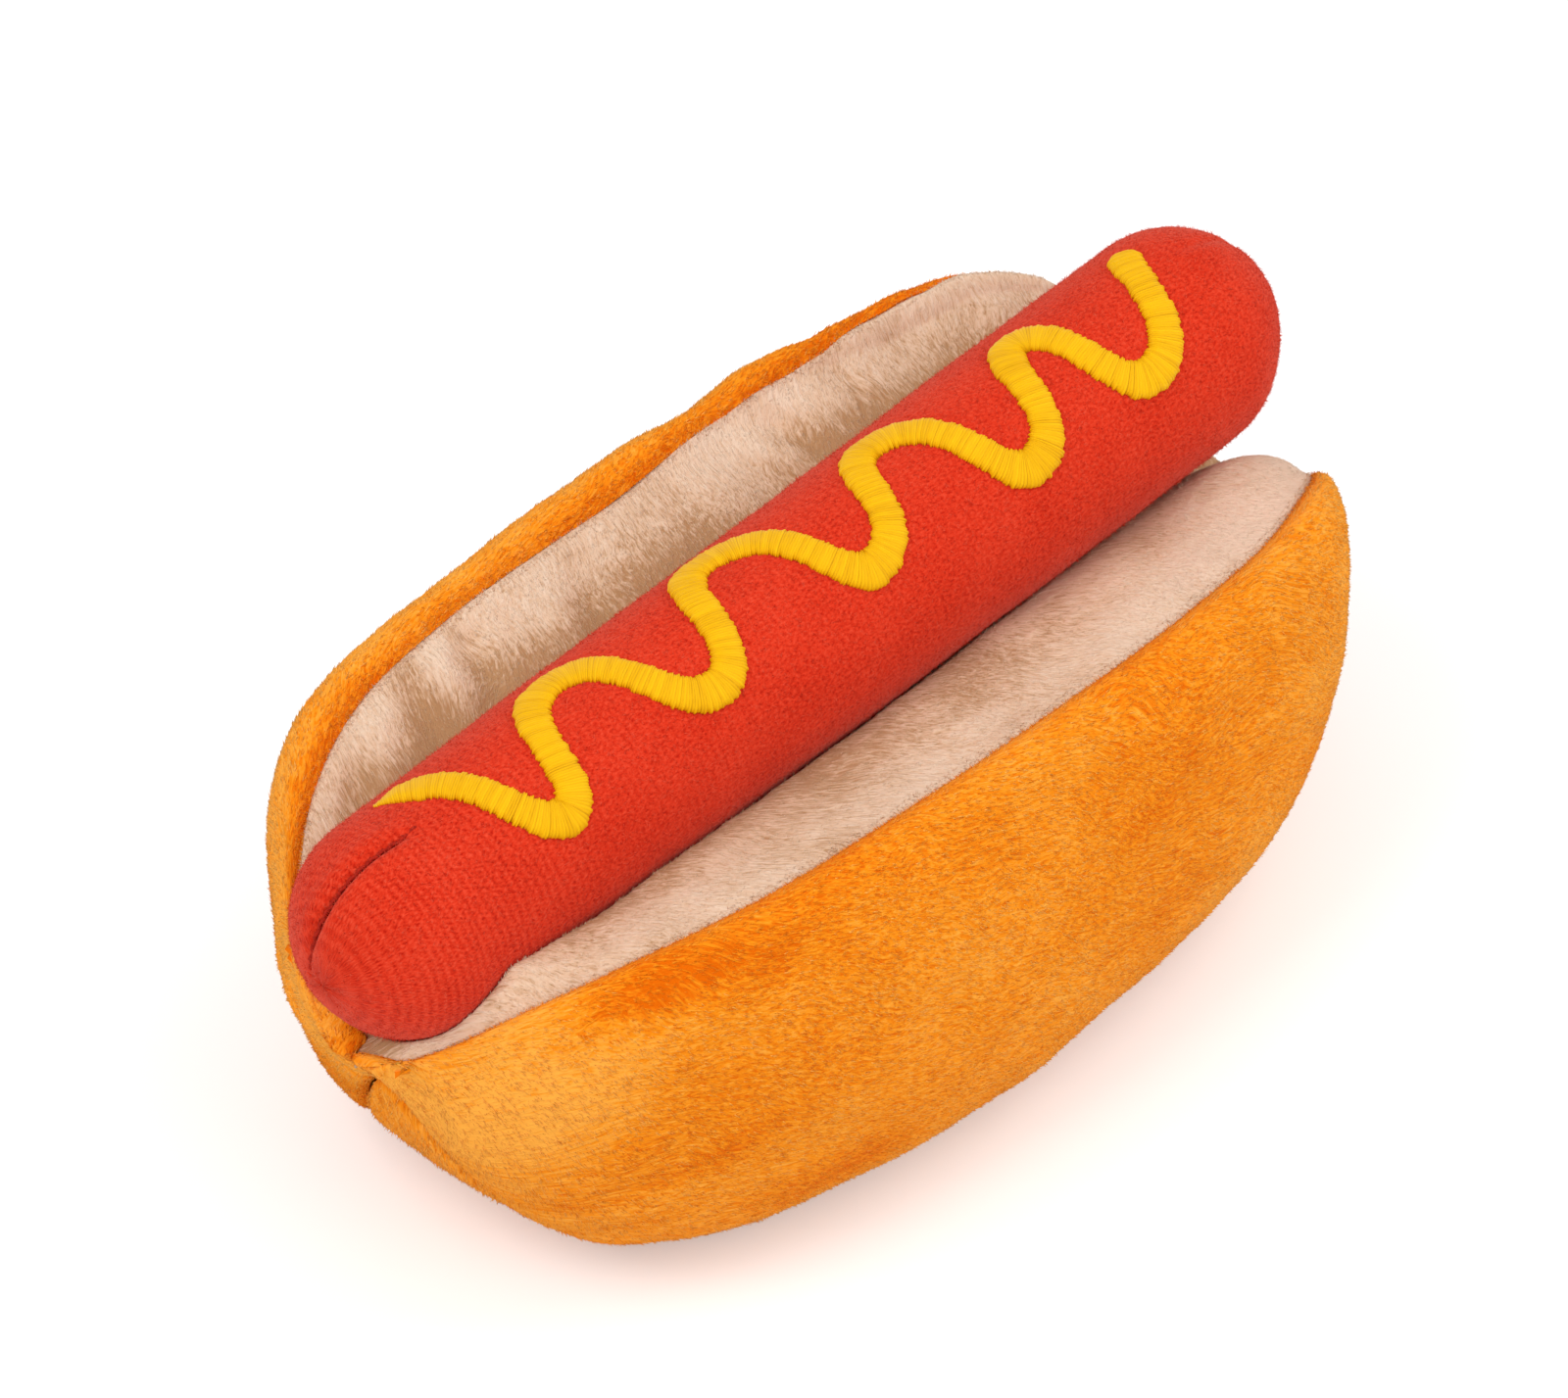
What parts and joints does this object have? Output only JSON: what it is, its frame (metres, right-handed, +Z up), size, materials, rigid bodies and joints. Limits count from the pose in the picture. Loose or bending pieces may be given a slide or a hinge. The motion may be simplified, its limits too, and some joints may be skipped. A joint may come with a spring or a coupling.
{
  "type": "plush hot dog dog toy",
  "caption": "Plush hot dog toy: a knit sausage with a satin-stitch mustard line in a split pile-fabric bun, with a squeaker inside.",
  "frame": {"origin": "on the floor under the middle of the bun", "axes": "+X along the bun to the end where the sausage is raised, -Y towards the front half, +Z up"},
  "size_m": [0.2198, 0.1196, 0.1034],
  "materials": {
    "orange_pile": "short plush pile, matte with a soft sheen",
    "cream_pile": "short plush pile, matte with a soft sheen",
    "red_knit": "brushed knit fleece, matte and fuzzy",
    "yellow_thread": "satin-stitched embroidery thread, silky",
    "orange_thread": "spun sewing thread",
    "red_thread": "spun sewing thread",
    "fibre": "loose polyester fibre fill",
    "backing": "thin non-woven sheet",
    "squeaker_bulb": "soft blow-moulded vinyl, satin",
    "squeaker_insert": "hard moulded plastic"
  },
  "bodies": {
    "bun": {"bun_base": "orange_pile", "crumb_valley_strip": "cream_pile", "tack_stitch_row": "red_thread", "core_stuffing": "fibre", "squeaker_base": "squeaker_bulb", "squeaker_wall": "squeaker_bulb", "reed_holder": "squeaker_insert", "reed": "squeaker_insert", "sausage_skin": "red_knit", "sausage_stuffing": "fibre", "embroidery_backing": "backing", "mustard_line": "yellow_thread", "left_dart_stitch": "red_thread", "right_dart_stitch": "red_thread", "front_base_stitch": "orange_thread", "back_base_stitch": "orange_thread", "left_end_stitch": "orange_thread", "right_end_stitch": "orange_thread"},
    "front_half": {"bun_front_crust": "orange_pile", "front_crumb": "cream_pile", "front_stuffing": "fibre", "front_lip_stitch": "orange_thread"},
    "back_half": {"bun_back_crust": "orange_pile", "back_crumb": "cream_pile", "back_stuffing": "fibre", "back_lip_stitch": "orange_thread"},
    "squeaker_press": {"squeaker_top": "squeaker_bulb", "squeaker_pad": "fibre"}
  },
  "joints": [
    {"name": "front_half_open", "type": "hinge", "parent": "bun", "child": "front_half", "pos_m": [0, -0.0359, 0.0026], "axis": [1, 0, 0], "range_deg": [0, 9], "stiffness_Nm_per_rad": 0.5, "springref_deg": -2.86},
    {"name": "back_half_open", "type": "hinge", "parent": "bun", "child": "back_half", "pos_m": [0, 0.0359, 0.0026], "axis": [-1, 0, 0], "range_deg": [0, 9], "stiffness_Nm_per_rad": 0.5, "springref_deg": -2.86},
    {"name": "squeaker_squeeze", "type": "slide", "parent": "bun", "child": "squeaker_press", "axis": [0, 0, -1], "range_m": [0, 0.007], "stiffness_N_per_m": 400, "springref_m": -0.001, "deforming": ["squeaker_wall"]}
  ]
}
